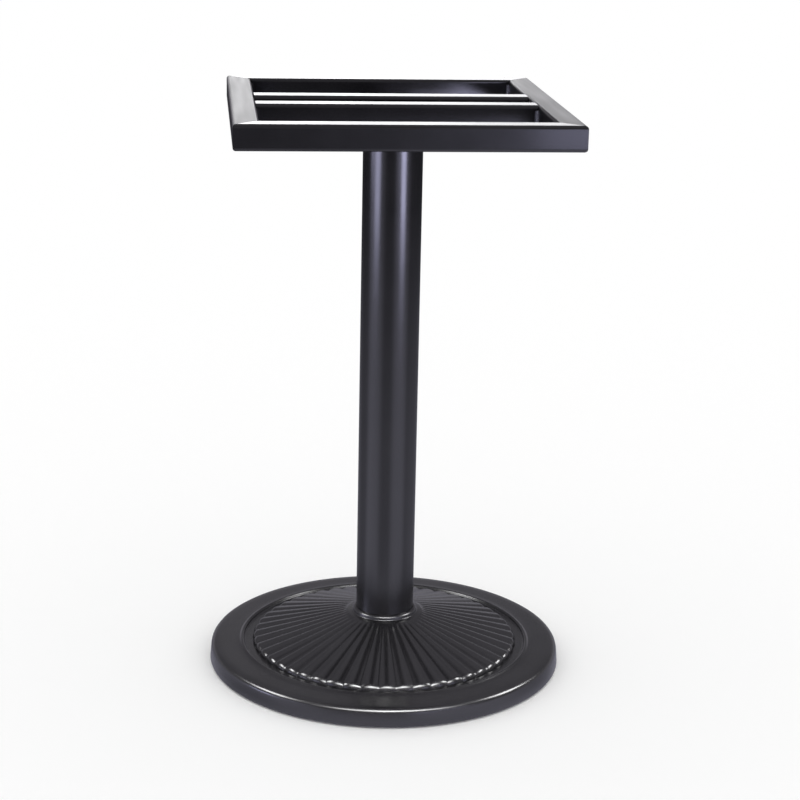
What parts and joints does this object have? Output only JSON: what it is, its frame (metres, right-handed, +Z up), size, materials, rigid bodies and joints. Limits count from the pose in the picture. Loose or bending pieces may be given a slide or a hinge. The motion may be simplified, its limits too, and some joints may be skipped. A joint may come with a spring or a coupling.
{
  "type": "table base",
  "caption": "Pedestal table base with a round reeded cast foot, a round column and a square-tube frame that carries the table top.",
  "frame": {"origin": "on the floor, under the column's axis", "axes": "+Z up along the column, -Y towards the front, +X to the right"},
  "size_m": [0.448, 0.448, 0.72],
  "materials": {
    "coated_casting": "satin black powder coat on cast iron",
    "coated_steel": "satin black powder coat on steel tube",
    "coated_weld": "satin black powder coat over rippled weld beads",
    "zinc_hardware": "bright zinc plate",
    "glide_plastic": "moulded black nylon"
  },
  "bodies": {
    "root": {"base_casting": "coated_casting", "column_tube": "coated_steel", "front_rail": "coated_steel", "rear_rail": "coated_steel", "left_rail": "coated_steel", "right_rail": "coated_steel", "front_cross_rail": "coated_steel", "rear_cross_rail": "coated_steel", "head_plate": "coated_steel", "head_spigot": "coated_steel", "frame_welds": "coated_weld", "tie_rod": "zinc_hardware", "top_washer": "zinc_hardware", "top_nut": "zinc_hardware", "bottom_washer": "zinc_hardware", "bottom_nut": "zinc_hardware", "glide_1": "glide_plastic", "glide_2": "glide_plastic", "glide_3": "glide_plastic", "glide_4": "glide_plastic"}
  },
  "joints": []
}
